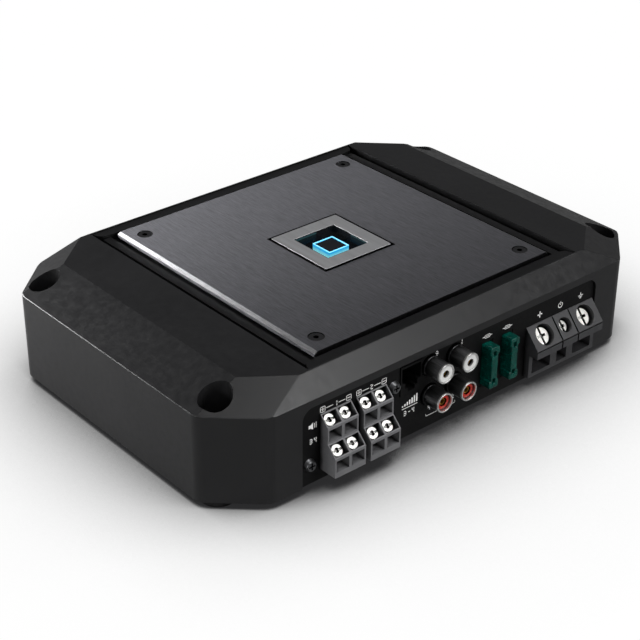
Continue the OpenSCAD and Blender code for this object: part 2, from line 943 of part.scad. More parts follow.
module fuse_holder() {
    front = panel_face - 0.2;
    deep = panel_back - 0.1;
    body_end = panel_face + fuse_out - fuse_body;
    x_mid = fuse_x + fuse_pitch / 2;
    color(panel_black)
        difference() {
            union() {
                translate([x_mid - 9.6, -deep, board_top])
                    cube([19.2, 18, 23]);
                for (i = [0, 1])
                    translate([fuse_x + i * fuse_pitch - 3.2, -front, fuse_z - 10.2])
                        cube([6.4, front - deep + 1, 20.4]);
            }
            for (i = [0, 1]) {
                translate([fuse_x + i * fuse_pitch - fuse_w / 2 - 0.15, -front - cut, fuse_z - fuse_h / 2 - 0.15])
                    cube([fuse_w + 0.3, front + cut - body_end + 0.3, fuse_h + 0.3]);
                for (side = [-1, 1])
                    translate([
                        fuse_x + i * fuse_pitch - blade_t / 2 - 0.1,
                        -body_end,
                        fuse_z + side * blade_z - blade_w / 2 - 0.2
                    ])
                        cube([blade_t + 0.2, blade_len + 0.6, blade_w + 0.4]);
            }
        }
}

module fuse(x) {
    front = panel_face + fuse_out;
    waist = 0.8;
    waist_h = 12;
    probe_w = 1.6;
    probe_h = 2.4;
    color("#1f7f6a", 0.8) {
        translate([x, -front, fuse_z])
            difference() {
                rotate([-90, 0, 0])
                    linear_extrude(fuse_body)
                        polygon(rounded([
                            [fuse_w / 2, -fuse_h / 2], [fuse_w / 2, fuse_h / 2],
                            [-fuse_w / 2, fuse_h / 2], [-fuse_w / 2, -fuse_h / 2]
                        ], 1, arc_steps));
                // the recessed sides, and the two windows for a test probe
                for (side = [-1, 1]) {
                    translate([side * fuse_w / 2 - waist, -cut, -waist_h / 2])
                        cube([2 * waist, fuse_body, waist_h]);
                    translate([-probe_w / 2, -cut, side * blade_z - probe_h / 2])
                        cube([probe_w, cut + 1.6, probe_h]);
                }
            }
        for (side = [-1, 1])
            translate([x - blade_t / 2, fuse_body - front - 0.1, fuse_z + side * blade_z - blade_w / 2])
                cube([blade_t, blade_len + 0.1, blade_w]);
    }
}

// ---------- controls on the rear panel ----------

pot_back = 64;
knob_out = 3.2;

module knob(x) {
    pocket = panel_back + 0.6;
    color(panel_black)
        difference() {
            union() {
                rod_y(x, control_z, knob_d / 2, pocket, panel_face + knob_out);
                rod_y(x, control_z, 2.9, pot_back + 2, pocket + 0.1);
            }
            translate([x - 0.5, panel_face + knob_out - 1.2, control_z - knob_d / 2 - cut])
                cube([1, 2, knob_d + 2 * cut]);
        }
}

module slider(x) {
    color("#d8d8d6")
        translate([x - 1.5, panel_back - 5, control_z - 1.2])
            cube([3, panel_face + 2.2 - panel_back + 5, 2.4]);
}

module potentiometers() {
    color("#3f4a45")
        for (side = [-1, 1])
            for (k = [-1, 1])
                difference() {
                    translate([side * control_x + k * control_pitch - 5.5, pot_back, board_top])
                        cube([11, panel_back - 0.2 - pot_back, control_z + 6 - board_top]);
                    rod_y(side * control_x + k * control_pitch, control_z, 2.98, pot_back + 1, panel_back + 1);
                }
}

module slide_switches() {
    color("#9a9c9e")
        for (side = [-1, 1])
            difference() {
                translate([side * control_x - 6.2, pot_back + 2, board_top])
                    cube([12.4, panel_back - 0.2 - pot_back - 2, control_z + 4 - board_top]);
                translate([side * control_x - 4.2, panel_back - 5.6, control_z - 1.5])
                    cube([8.4, 8, 3]);
            }
}

// ---------- electronics ----------

module circuit_board() {
    color("#17502f")
        translate([0, 0, board_z])
            linear_extrude(board_t)
                difference() {
                    translate([-board_half_x, -board_front])
                        square([2 * board_half_x, board_front + board_rear]);
                    translate([pow_x - 1.5, -board_front - cut])
                        square([pow_w + 3, board_front - pow_rear + 1 + cut]);
                    at_corners(board_post.x, board_post.y)
                        circle(r = screw_hole_r);
                }
}

// A wound ring standing on the board, its section rounded by corner arcs
module wound_ring(x, y, r_in, r_out, h, r_edge) {
    translate([x, y, board_top])
        rotate_extrude($fn = fine)
            polygon(rounded([[r_in, 0], [r_out, 0], [r_out, h], [r_in, h]], r_edge, arc_steps));
}

module power_transformer() {
    color("#8a4a24")
        wound_ring(52, -22, 8, 21, 21, 4);
}

module output_inductors() {
    color("#94531f")
        for (i = [0:3])
            wound_ring(-62 + 24 * (i % 2), 4 + 24 * floor(i / 2), 4, 10.5, 12, 3);
}

module capacitors() {
    color("#23262e") {
        for (i = [0:3])
            translate([16 + 19 * i, 20, board_top])
                cylinder(d = 16, h = 26);
        for (i = [0:4])
            translate([-22 + 12 * i, 42, board_top])
                cylinder(d = 10, h = 16);
        for (i = [0:3])
            translate([-14 + 11 * i, -36, board_top])
                cylinder(d = 8, h = 12);
    }
}

module transistors() {
    color("#19191b")
        for (side = [-1, 1])
            for (i = [0:5])
                translate([side * 91.4 - (side > 0 ? 4.4 : 0), -34 + i * 12 - 1, 15]) {
                    cube([4.4, 10, 15]);
                    for (leg = [1.9, 4.5, 7.1])
                        translate([1.8, leg, board_top - 15])
                            cube([0.6, 1, 15 - board_top]);
                }
}

module clamp_bars() {
    color(steel_grey)
        for (side = [-1, 1]) {
            translate([side * 86.9 - (side > 0 ? 2 : 0), -38, 20])
                cube([2, 76, 7]);
            for (y = [-36, 36])
                translate([side * 84.9, y, 23.5])
                    rotate([0, -side * 90, 0])
                        cylinder(r = screw_head_r, h = 2);
        }
}

// ---------- nodes ----------

housing();
housing_corners();
centre_cover();
top_plate();
plate_screws();
badge_bezel();
badge_base();
light_ring();
badge_cap();
connector_panel();
case_screws();
speaker_block(spk_left_x);  // speaker_block_left
speaker_block(spk_right_x);  // speaker_block_right
speaker_screw(1);  // speaker_screw_1
speaker_screw(2);  // speaker_screw_2
speaker_screw(3);  // speaker_screw_3
speaker_screw(4);  // speaker_screw_4
speaker_screw(5);  // speaker_screw_5
speaker_screw(6);  // speaker_screw_6
speaker_screw(7);  // speaker_screw_7
speaker_screw(8);  // speaker_screw_8
speaker_clamp(1);  // speaker_clamp_1
speaker_clamp(2);  // speaker_clamp_2
speaker_clamp(3);  // speaker_clamp_3
speaker_clamp(4);  // speaker_clamp_4
speaker_clamp(5);  // speaker_clamp_5
speaker_clamp(6);  // speaker_clamp_6
speaker_clamp(7);  // speaker_clamp_7
speaker_clamp(8);  // speaker_clamp_8
power_block();
power_screw(0);  // power_screw_1
power_screw(1);  // power_screw_2
power_screw(2);  // power_screw_3
power_clamp(0);  // power_clamp_1
power_clamp(1);  // power_clamp_2
power_clamp(2);  // power_clamp_3
level_socket();
rca_body();
rca_shells();
rca_inserts_white();
rca_inserts_red();
fuse_holder();
fuse(fuse_x);  // fuse_left
fuse(fuse_x + fuse_pitch);  // fuse_right
control_panel();
knob(control_x + control_pitch);  // gain_knob_1
knob(-control_x + control_pitch);  // gain_knob_2
knob(control_x - control_pitch);  // crossover_knob_1
knob(-control_x - control_pitch);  // crossover_knob_2
slider(control_x);  // filter_slider_1
slider(-control_x);  // filter_slider_2
potentiometers();
slide_switches();
bottom_cover();
circuit_board();
power_transformer();
output_inductors();
capacitors();
transistors();
clamp_bars();
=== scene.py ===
"""Looks for a compact car amplifier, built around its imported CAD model.

Everything is in metres in the CAD frame: X along the connector panel, -Y out of it, Z up.
"""
import json
import math

import bmesh
import bpy
from mathutils import Matrix, Vector


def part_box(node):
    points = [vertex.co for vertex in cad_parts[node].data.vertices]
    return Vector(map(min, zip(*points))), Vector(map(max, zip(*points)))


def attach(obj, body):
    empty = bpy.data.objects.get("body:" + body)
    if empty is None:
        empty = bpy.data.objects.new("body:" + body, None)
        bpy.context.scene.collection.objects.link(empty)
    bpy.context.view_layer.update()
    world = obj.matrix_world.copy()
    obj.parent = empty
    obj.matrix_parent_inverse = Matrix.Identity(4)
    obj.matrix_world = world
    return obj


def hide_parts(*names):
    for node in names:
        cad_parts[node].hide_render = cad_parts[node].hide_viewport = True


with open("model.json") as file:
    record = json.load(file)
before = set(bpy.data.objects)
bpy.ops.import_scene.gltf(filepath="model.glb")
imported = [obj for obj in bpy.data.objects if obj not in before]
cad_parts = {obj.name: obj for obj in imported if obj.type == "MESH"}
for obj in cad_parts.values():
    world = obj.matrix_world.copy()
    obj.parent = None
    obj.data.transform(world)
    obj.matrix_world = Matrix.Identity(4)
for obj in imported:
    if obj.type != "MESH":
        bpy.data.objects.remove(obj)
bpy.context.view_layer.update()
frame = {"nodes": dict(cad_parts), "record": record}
nodes = frame["nodes"]
MM = 0.001
CHASSIS = "chassis"


# ---------- materials ----------

def srgb(code):
    """Linear colour of a hex code such as '#2c2c2e'."""
    parts = [int(code[i:i + 2], 16) / 255 for i in (1, 3, 5)]
    linear = [c / 12.92 if c <= 0.04045 else ((c + 0.055) / 1.055) ** 2.4 for c in parts]
    return (*linear, 1.0)


class Shader:
    """A node material whose patterns are read from object coordinates in metres."""

    def __init__(self, name):
        self.material = bpy.data.materials.new(name)
        self.material.use_nodes = True
        self.tree = self.material.node_tree
        self.surface = self.tree.nodes["Principled BSDF"]
        self.place = self.node("ShaderNodeTexCoord").outputs["Object"]

    def node(self, kind, **settings):
        made = self.tree.nodes.new(kind)
        for key, value in settings.items():
            setattr(made, key, value)
        return made

    def link(self, source, socket):
        self.tree.links.new(source, socket)

    def set(self, **values):
        for key, value in values.items():
            self.surface.inputs[key.replace("_", " ")].default_value = value

    def feed(self, name, source):
        self.link(source, self.surface.inputs[name])

    def noise(self, size, detail=3.0, stretch=(1, 1, 1), rough=0.55):
        """Noise with features about size metres across, longer where stretch is above 1."""
        mapping = self.node("ShaderNodeMapping")
        mapping.inputs["Scale"].default_value = [1 / (size * s) for s in stretch]
        self.link(self.place, mapping.inputs["Vector"])
        made = self.node("ShaderNodeTexNoise")
        made.inputs["Scale"].default_value = 1.0
        made.inputs["Detail"].default_value = detail
        made.inputs["Roughness"].default_value = rough
        self.link(mapping.outputs[0], made.inputs["Vector"])
        return made.outputs["Fac"]

    def ramp(self, value, low, high, start=0.3, end=0.7):
        """value between start and end becomes a number between low and high."""
        made = self.node("ShaderNodeMapRange")
        for key, number in zip(("From Min", "From Max", "To Min", "To Max"), (start, end, low, high)):
            made.inputs[key].default_value = number
        self.link(value, made.inputs["Value"])
        return made.outputs["Result"]

    def blend(self, factor, first, second):
        """A colour between two, each a hex code or a socket."""
        made = self.node("ShaderNodeMix", data_type="RGBA")
        self.link(factor, made.inputs["Factor"])
        for name, colour in (("A", first), ("B", second)):
            socket = [s for s in made.inputs if s.name == name and s.type == "RGBA"][0]
            if isinstance(colour, str):
                socket.default_value = srgb(colour)
            else:
                self.link(colour, socket)
        return [s for s in made.outputs if s.type == "RGBA"][0]

    def math(self, operation, first, second=None):
        made = self.node("ShaderNodeMath", operation=operation)
        for socket, value in zip(made.inputs, (first, second)):
            if value is None:
                continue
            if isinstance(value, (int, float)):
                socket.default_value = value
            else:
                self.link(value, socket)
        return made.outputs[0]

    def axis(self, name):
        made = self.node("ShaderNodeSeparateXYZ")
        self.link(self.place, made.inputs[0])
        return made.outputs[name]

    def along_x(self):
        """The direction across the brush lines, for metal brushed along Y."""
        made = self.node("ShaderNodeCombineXYZ")
        made.inputs["X"].default_value = 1.0
        return made.outputs[0]

    def openness(self, reach, low=0.4, high=0.8):
        """0 deep in a hole or groove and 1 on an open face, judged over reach metres."""
        made = self.node("ShaderNodeAmbientOcclusion", samples=8)
        made.inputs["Distance"].default_value = reach
        return self.ramp(made.outputs["AO"], 0, 1, low, high)

    def bump(self, height, depth, strength=1.0, under=None):
        """Relief of about depth metres from a height between 0 and 1."""
        made = self.node("ShaderNodeBump")
        made.inputs["Strength"].default_value = strength
        made.inputs["Distance"].default_value = depth
        self.link(height, made.inputs["Height"])
        if under is not None:
            self.link(under, made.inputs["Normal"])
        return made.outputs[0]


def painted(name, dark, light, rough=(0.28, 0.4), grain=0.35, depth=0.012):
    """Satin paint over metal: a fine orange peel, a slow change of tone, and shade in deep holes."""
    s = Shader(name)
    open_tone = s.blend(s.ramp(s.noise(40 * MM), 0, 1), dark, light)
    s.feed("Base Color", s.blend(s.openness(12 * MM, 0.3, 0.6), "#030303", open_tone))
    s.feed("Roughness", s.ramp(s.noise(3 * MM), *rough))
    s.feed("Normal", s.bump(s.noise(grain * MM, detail=2), depth * MM, 0.6))
    s.set(Specular_IOR_Level=0.35)
    return s.material


def brushed(name, dark, light, rough=(0.26, 0.42), along=(0.05, 30, 1), metallic=1.0, edge=None):
    """Metal brushed along one axis: streaks of tone, gloss and relief, and a painted shade that makes it
    black below the height of edge.
    """
    s = Shader(name)
    streak = s.noise(1 * MM, detail=6, stretch=along, rough=0.7)
    broad = s.noise(6 * MM, detail=3, stretch=(0.3, 20, 1))
    tone = s.math("ADD", s.math("MULTIPLY", streak, 0.6), s.math("MULTIPLY", broad, 0.4))
    finish = s.blend(s.ramp(tone, 0, 1, 0.35, 0.65), dark, light)
    # Painted shade: below the height of edge the colour is black, standing in for the shaded sides.
    if edge is not None:
        finish = s.blend(s.math("LESS_THAN", s.axis("Z"), edge), finish, "#050505")
    s.feed("Base Color", finish)
    s.feed("Roughness", s.ramp(streak, *rough))
    s.feed("Normal", s.bump(streak, 0.006 * MM, 0.5))
    s.set(Metallic=metallic)
    return s.material


def plated(name, dark, light, rough=(0.34, 0.46), reach=2.2 * MM):
    """Bright nickel plating with handling smears, and painted shade that blackens its recesses."""
    s = Shader(name)
    unshaded_plating = s.blend(s.ramp(s.noise(2 * MM), 0, 1), dark, light)
    # Painted shade: recesses found by ambient occlusion turn near black.
    s.feed("Base Color", s.blend(s.openness(reach, 0.48, 0.62), "#040404", unshaded_plating))
    s.feed("Roughness", s.ramp(s.noise(0.8 * MM, detail=5), *rough))
    s.feed("Normal", s.bump(s.noise(0.5 * MM, stretch=(4, 1, 1)), 0.003 * MM, 0.3))
    s.set(Metallic=1.0)
    return s.material


def moulded(name, dark, light, rough=(0.4, 0.55), grain=0.25, reach=6 * MM, shine=0.45):
    """Moulded plastic with a spark-eroded texture, and painted shade that darkens its holes and grooves."""
    s = Shader(name)
    open_tone = s.blend(s.ramp(s.noise(5 * MM), 0, 1), dark, light)
    # Painted shade: holes and grooves found by ambient occlusion turn near black.
    s.feed("Base Color", s.blend(s.openness(reach, 0.5, 0.85), "#030303", open_tone))
    s.feed("Roughness", s.ramp(s.noise(1.5 * MM), *rough))
    s.feed("Normal", s.bump(s.noise(grain * MM, detail=2), 0.01 * MM, 0.7))
    s.set(Specular_IOR_Level=shine)
    return s.material


def glossy(name, dark, light, rough=(0.03, 0.08)):
    """Polished dark plastic with a hard clear coat and a few fine smears."""
    s = Shader(name)
    s.feed("Base Color", s.blend(s.ramp(s.noise(8 * MM), 0, 1), dark, light))
    s.feed("Roughness", s.ramp(s.noise(4 * MM, detail=5), *rough))
    s.feed("Normal", s.bump(s.noise(9 * MM, detail=1), 0.01 * MM, 0.2))
    s.set(Coat_Weight=0.6, Coat_Roughness=0.03)
    return s.material


def tinted(name, dark, light):
    """Clear coloured plastic of a fuse body."""
    s = Shader(name)
    s.feed("Base Color", s.blend(s.ramp(s.noise(3 * MM), 0, 1), dark, light))
    s.feed("Roughness", s.ramp(s.noise(1 * MM), 0.05, 0.12))
    s.feed("Normal", s.bump(s.noise(1.5 * MM), 0.005 * MM, 0.4))
    s.set(Transmission_Weight=0.35, IOR=1.45, Specular_IOR_Level=0.2, Coat_Weight=0.05, Coat_Roughness=0.04)
    return s.material


def plate_metal():
    """The brushed plate: dark anodised on top, bright bare metal on its cut side edges, with painted black
    shade round the screws and round the badge.
    """
    s = Shader("anodised_plate")
    streak = s.noise(1 * MM, detail=5, stretch=(0.16, 4.5, 1), rough=0.7)
    broad = s.noise(2 * MM, detail=3, stretch=(0.3, 6, 1))
    tone = s.math("ADD", s.math("MULTIPLY", streak, 0.65), s.math("MULTIPLY", broad, 0.35))
    dark_face = s.blend(s.ramp(tone, 0, 1, 0.35, 0.65), "#6c6c70", "#94949a")
    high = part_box("top_plate")[1]
    edge_width = 1.45 * MM
    edge_height = 0.93 * MM
    chamfer_x = high.x - edge_width
    chamfer_z = high.z - edge_height
    side = s.math("GREATER_THAN", s.math("ABSOLUTE", s.axis("X")), chamfer_x)
    above = s.math("GREATER_THAN", s.axis("Z"), chamfer_z)
    bare = s.math("MULTIPLY", side, above)
    finish = s.blend(bare, dark_face, s.blend(s.ramp(streak, 0, 1), "#b4b4b6", "#ececee"))
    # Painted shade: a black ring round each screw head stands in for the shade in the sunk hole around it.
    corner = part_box("plate_screws")[1]
    head = 3.0 * MM
    off_x = s.math("SUBTRACT", s.math("ABSOLUTE", s.axis("X")), corner.x - head)
    off_y = s.math("SUBTRACT", s.math("ABSOLUTE", s.axis("Y")), corner.y - head)
    from_screw = s.math("SQRT", s.math("ADD", s.math("POWER", off_x, 2), s.math("POWER", off_y, 2)))
    screw_shade_r = 3.3 * MM
    countersink_shade = s.math("LESS_THAN", from_screw, screw_shade_r)
    # Painted shade: a black band round the badge, wider than the real gap, stands in for the shaded gap.
    low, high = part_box("badge_bezel")
    off_badge = s.math("ABSOLUTE", s.math("SUBTRACT", s.axis("Y"), (low.y + high.y) / 2))
    reach = s.math("MAXIMUM", s.math("ABSOLUTE", s.axis("X")), off_badge)
    gap_shade_width = 1.3 * MM
    outline = s.math("LESS_THAN", reach, high.x + gap_shade_width)
    s.feed("Base Color", s.blend(s.math("MAXIMUM", countersink_shade, outline), finish, "#050505"))
    rough = s.ramp(streak, 0.36, 0.46)
    s.feed("Roughness", s.math("SUBTRACT", rough, s.math("MULTIPLY", bare, 0.1)))
    s.feed("Normal", s.bump(streak, 0.008 * MM, 0.55))
    s.feed("Tangent", s.along_x())
    s.set(Metallic=1.0, Anisotropic=0.85)
    return s.material


def hex_screw():
    """Blackened screws with a face as bright as the plate, and painted shade that blackens the hexagon
    recess.
    """
    s = Shader("hex_screw")
    face = s.blend(s.ramp(s.noise(0.5 * MM), 0, 1), "#4a4a4c", "#5c5c5e")
    # Painted shade: the hexagon recess, found by ambient occlusion, turns black.
    s.feed("Base Color", s.blend(s.openness(2 * MM, 0.6, 0.8), "#020202", face))
    s.feed("Roughness", s.ramp(s.noise(1 * MM), 0.4, 0.5))
    s.feed("Normal", s.bump(s.noise(0.4 * MM), 0.003 * MM, 0.4))
    s.set(Metallic=1.0)
    return s.material


def light_pipe():
    """The ring's clear blue plastic, lit from below, whiter along its upper rim."""
    s = Shader("light_pipe")
    low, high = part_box("light_ring")
    rise = s.ramp(s.axis("Z"), 0, 1, low.z, high.z)
    wall = s.blend(s.ramp(rise, 0, 1, 0.0, 0.75), "#8fe0e4", "#2496c8")
    glow = s.blend(s.ramp(rise, 0, 1, 0.9, 1.0), wall, "#7fd6ff")
    s.feed("Base Color", glow)
    s.feed("Emission Color", glow)
    s.feed("Emission Strength", s.ramp(s.noise(2 * MM), 0.72, 0.86))
    s.feed("Roughness", s.ramp(s.noise(1 * MM), 0.12, 0.25))
    return s.material


def wound_copper():
    """Enamelled wire wound round a core: fine radial turns."""
    s = Shader("wound_copper")
    turns = s.noise(0.9 * MM, detail=2, stretch=(1, 1, 8))
    s.feed("Base Color", s.blend(s.ramp(turns, 0, 1), "#5c2c10", "#b06a30"))
    s.feed("Roughness", s.ramp(turns, 0.2, 0.4))
    s.feed("Normal", s.bump(turns, 0.2 * MM, 0.8))
    s.set(Metallic=0.8)
    return s.material


def circuit_green():
    """Solder mask with faint tracks under it."""
    s = Shader("circuit_green")
    tracks = s.noise(3 * MM, detail=1, stretch=(6, 1, 1))
    s.feed("Base Color", s.blend(s.ramp(tracks, 0, 1, 0.48, 0.52), "#0f3a22", "#1c5a35"))
    s.feed("Roughness", s.ramp(s.noise(2 * MM), 0.25, 0.4))
    s.feed("Normal", s.bump(s.ramp(tracks, 0, 1, 0.48, 0.52), 0.03 * MM, 0.6))
    return s.material


def phono_metal():
    """Phono shells: a barrel that darkens from bare metal near the lip to near black at the panel, a
    painted shade, behind a bright bare lip.
    """
    s = Shader("phono_metal")
    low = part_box("rca_shells")[0]
    lip_length = 0.8 * MM
    shade_length = 9 * MM
    lip = s.math("LESS_THAN", s.axis("Y"), low.y + lip_length)
    drawn = s.noise(0.5 * MM, stretch=(1, 12, 1))
    metal = s.blend(s.ramp(drawn, 0, 1), "#8c8c8e", "#b0b0b2")
    # Painted shade: the barrel's colour fades to near black over shade_length towards the panel.
    barrel = s.blend(s.ramp(s.axis("Y"), 0, 1, low.y, low.y + shade_length), metal, "#0c0c0d")
    s.feed("Base Color", s.blend(lip, barrel, "#f2f2f0"))
    s.feed("Roughness", s.ramp(drawn, 0.28, 0.42))
    s.feed("Normal", s.bump(drawn, 0.004 * MM, 0.4))
    s.set(Metallic=1.0)
    return s.material


look = {
    "cast_black": painted("cast_black", "#1b1b1c", "#202021"),
    "trim_black": painted("trim_black", "#101011", "#151516", rough=(0.3, 0.4)),
    "anodised": plate_metal(),
    "dark_steel": plated("dark_steel", "#5c5d5f", "#7c7d7f", reach=1.4 * MM),
    "bezel_silver": brushed(
        "bezel_silver", "#bcbcbe", "#cecfd1", rough=(0.54, 0.62),
        # Painted shade: the bezel's sides below its top face are black.
        edge=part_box("badge_bezel")[1].z - 0.12 * MM,
    ),
    "gloss_black": glossy("gloss_black", "#0f1114", "#16181c"),
    "blue_light": light_pipe(),
    "board_green": circuit_green(),
    "panel_black": moulded("panel_black", "#040405", "#070708", rough=(0.45, 0.55), shine=0.18),
    "block_grey": moulded("block_grey", "#656567", "#6e6e70", reach=3.2 * MM),
    "power_grey": moulded("power_grey", "#333335", "#3b3b3d", reach=3.6 * MM),
    "nickel": plated("nickel", "#e2e1dd", "#f6f5f0"),
    "white_plastic": moulded("white_plastic", "#dcdcda", "#e8e8e6", rough=(0.25, 0.4), reach=3 * MM),
    "red_plastic": moulded("red_plastic", "#b4261a", "#cc3524", rough=(0.2, 0.3), reach=3 * MM),
    "fuse_green": tinted("fuse_green", "#013a33", "#045c50"),
    "knob_black": moulded("knob_black", "#161618", "#202022"),
    "copper_winding": wound_copper(),
    "sleeve_black": moulded("sleeve_black", "#1c1f28", "#272b36", rough=(0.2, 0.35)),
    "ink": moulded("ink", "#f0f0ee", "#ffffff", reach=0.2 * MM),
    "clamp_steel": plated("clamp_steel", "#e8e7e4", "#fbfaf6", reach=0.4 * MM),
    "phono_metal": phono_metal(),
    "hex_screw": hex_screw(),
    "gilt": plated("gilt", "#b98a34", "#dcae52", reach=1 * MM),
}
NODE_LOOK = {
    "rca_shells": "phono_metal", "power_block": "power_grey", "plate_screws": "hex_screw",
}


def dress(thing, slot):
    thing.data.materials.clear()
    thing.data.materials.append(look[slot])


for entry in frame["record"]["subparts"]:
    special = "clamp_steel" if "_clamp_" in entry["node"] else entry["material_slot"]
    dress(nodes[entry["node"]], NODE_LOOK.get(entry["node"], special))


# ---------- the housing's rounded shell ----------

def flat_sides(sources):
    """(normal, distance) of each side of the convex outline of CAD nodes, its underside left out."""
    hull = bmesh.new()
    for vertex in [v for source in sources for v in source.data.vertices]:
        hull.verts.new(vertex.co)
    made = bmesh.ops.convex_hull(hull, input=hull.verts)
    sides = []
    for face in [g for g in made["geom"] if isinstance(g, bmesh.types.BMFace)]:
        face.normal_update()
        normal = face.normal.copy()
        distance = normal.dot(face.verts[0].co)
        if normal.z < -0.01 or face.calc_area() < (0.3 * MM) ** 2:
            continue
        if all(normal.dot(n) < 0.99999 or abs(distance - d) > 0.02 * MM for n, d in sides):
            sides.append((normal, distance))
    hull.free()
    return sides


def corners_between(sides, inset):
    """The corners of the solid between sides that have all moved inwards by inset."""
    block = bmesh.new()
    bmesh.ops.create_cube(block, size=1.0, matrix=Matrix.Translation((0, 0, 0.5 - MM)))
    for normal, distance in sides:
        everything = block.verts[:] + block.edges[:] + block.faces[:]
        done = bmesh.ops.bisect_plane(
            block, geom=everything, plane_co=normal * (distance - inset), plane_no=normal, clear_outer=True,
        )
        rim = [g for g in done["geom_cut"] if isinstance(g, bmesh.types.BMEdge)]
        if rim:
            bmesh.ops.contextual_create(block, geom=rim)
    corners = [v.co.copy() for v in block.verts]
    block.free()
    return corners


def fan(normals):
    """Directions spread evenly over the patch between normals, the normals included."""
    found = list(normals)
    for i, first in enumerate(normals):
        for second in normals[i + 1:]:
            found += [(first * (1 - t) + second * t).normalized() for t in (0.2, 0.4, 0.6, 0.8)]
            for third in normals:
                found.append((first + second + third).normalized())
    return found


def rounded_outline(sources, radius):
    """An object with the convex outline of CAD nodes, all its edges rounded, open to below."""
    skin = 0.02 * MM
    sides = flat_sides(sources)
    ball = bmesh.new()
    for corner in corners_between(sides, radius + skin):
        near = [n for n, d in sides if abs(n.dot(corner) - (d - radius - skin)) < 0.01 * MM]
        for direction in fan(near):
            ball.verts.new(corner + direction * radius)
    made = bmesh.ops.convex_hull(ball, input=ball.verts)
    inside = [g for g in made["geom_interior"] if isinstance(g, bmesh.types.BMVert)]
    bmesh.ops.delete(ball, geom=inside, context="VERTS")
    bmesh.ops.dissolve_limit(ball, angle_limit=math.radians(0.2), verts=ball.verts, edges=ball.edges)
    mesh = bpy.data.meshes.new("outline")
    ball.to_mesh(mesh)
    ball.free()
    outline = bpy.data.objects.new("outline", mesh)
    bpy.context.scene.collection.objects.link(outline)
    return outline


def clean_copy(source, name):
    """A new object with the mesh of a CAD node, its vertices merged and its flat faces whole."""
    work = bmesh.new()
    work.from_mesh(source.data)
    bmesh.ops.remove_doubles(work, verts=work.verts, dist=0.001 * MM)
    bmesh.ops.dissolve_limit(work, angle_limit=math.radians(0.2), verts=work.verts, edges=work.edges)
    mesh = bpy.data.meshes.new(name)
    work.to_mesh(mesh)
    work.free()
    copy = bpy.data.objects.new(name, mesh)
    bpy.context.scene.collection.objects.link(copy)
    return copy


def applied(thing):
    """Turns an object's modifiers into its mesh."""
    shape = thing.evaluated_get(bpy.context.evaluated_depsgraph_get())
    mesh = bpy.data.meshes.new_from_object(shape)
    thing.modifiers.clear()
    thing.data = mesh


def combine(thing, operation, other):
    """Applies an exact Boolean with another object, which is used up."""
    cut = thing.modifiers.new(operation, "BOOLEAN")
    cut.operation = operation
    cut.solver = "EXACT"
    cut.object = other
    applied(thing)
    bpy.data.objects.remove(other)


def merge_flat(thing):
    """Joins neighbouring faces that lie in one plane."""
    work = bmesh.new()
    work.from_mesh(thing.data)
    bmesh.ops.dissolve_limit(work, angle_limit=math.radians(0.2), verts=work.verts, edges=work.edges)
    work.to_mesh(thing.data)
    work.free()


def smooth_by_angle(thing, angle=28):
    thing.data.shade_smooth()
    thing.data.set_sharp_from_angle(angle=math.radians(angle))
    normals = thing.modifiers.new("normals", "WEIGHTED_NORMAL")
    normals.keep_sharp = True


def add_shell():
    """The die casting in one piece, with the soft outer edges of a real casting."""
    castings = [nodes["housing"], nodes["housing_corners"]]
    shell = clean_copy(castings[0], "housing_shell")
    combine(shell, "UNION", clean_copy(castings[1], "corners"))
    merge_flat(shell)
    edge_r = 0.6 * MM
    combine(shell, "INTERSECT", rounded_outline(castings, edge_r))
    bevel = shell.modifiers.new("bevel", "BEVEL")
    bevel.width = 0.22 * MM
    bevel.segments = 2
    bevel.limit_method = "ANGLE"
    bevel.angle_limit = math.radians(35)
    bevel.use_clamp_overlap = True
    applied(shell)
    dress(shell, "cast_black")
    smooth_by_angle(shell)
    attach(shell, CHASSIS)
    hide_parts("housing", "housing_corners")


# ---------- soft edges on the CAD nodes ----------

def soften(thing, width):
    """Rounds the sharp edges of a CAD node with modifiers, or only shades its curves smooth."""
    weld = thing.modifiers.new("weld", "WELD")
    weld.merge_threshold = 0.001 * MM
    flat = thing.modifiers.new("flat", "DECIMATE")
    flat.decimate_type = "DISSOLVE"
    flat.angle_limit = math.radians(0.3)
    thing.data.shade_smooth()
    if not width:
        split = thing.modifiers.new("split", "EDGE_SPLIT")
        split.split_angle = math.radians(28)
        return
    bevel = thing.modifiers.new("bevel", "BEVEL")
    bevel.width = width * MM
    bevel.segments = 3
    bevel.limit_method = "ANGLE"
    bevel.angle_limit = math.radians(25)
    bevel.use_clamp_overlap = True
    thing.modifiers.new("normals", "WEIGHTED_NORMAL").keep_sharp = True


# ---------- printed marks ----------

DIGITS = {1: "bc", 2: "abged", 3: "abgcd", 4: "fgbc"}


def bar(x, z, w, h):
    """A printed rectangle, by its lower left corner, in millimetres."""
    return [(x, z), (x + w, z), (x + w, z + h), (x, z + h)]


def frame_of(x, z, w, h, t=0.26):
    return [bar(x, z, w, t), bar(x, z + h - t, w, t), bar(x, z, t, h), bar(x + w - t, z, t, h)]


def digit(x, z, number, w=1.25, h=2.2, t=0.36):
    half = (h + t) / 2
    strokes = {
        "a": bar(x, z + h - t, w, t), "g": bar(x, z + half - t, w, t), "d": bar(x, z, w, t),
        "b": bar(x + w - t, z + half - t, t, half), "c": bar(x + w - t, z, t, half),
        "f": bar(x, z + half - t, t, half), "e": bar(x, z, t, half),
    }
    return [strokes[k] for k in DIGITS[number]]


def plus(x, z, r=0.7, t=0.3):
    return minus(x, z, r, t) + [bar(x - t / 2, z - r, t, 2 * r)]


def minus(x, z, r=0.7, t=0.3):
    return [bar(x - r, z - t / 2, 2 * r, t)]


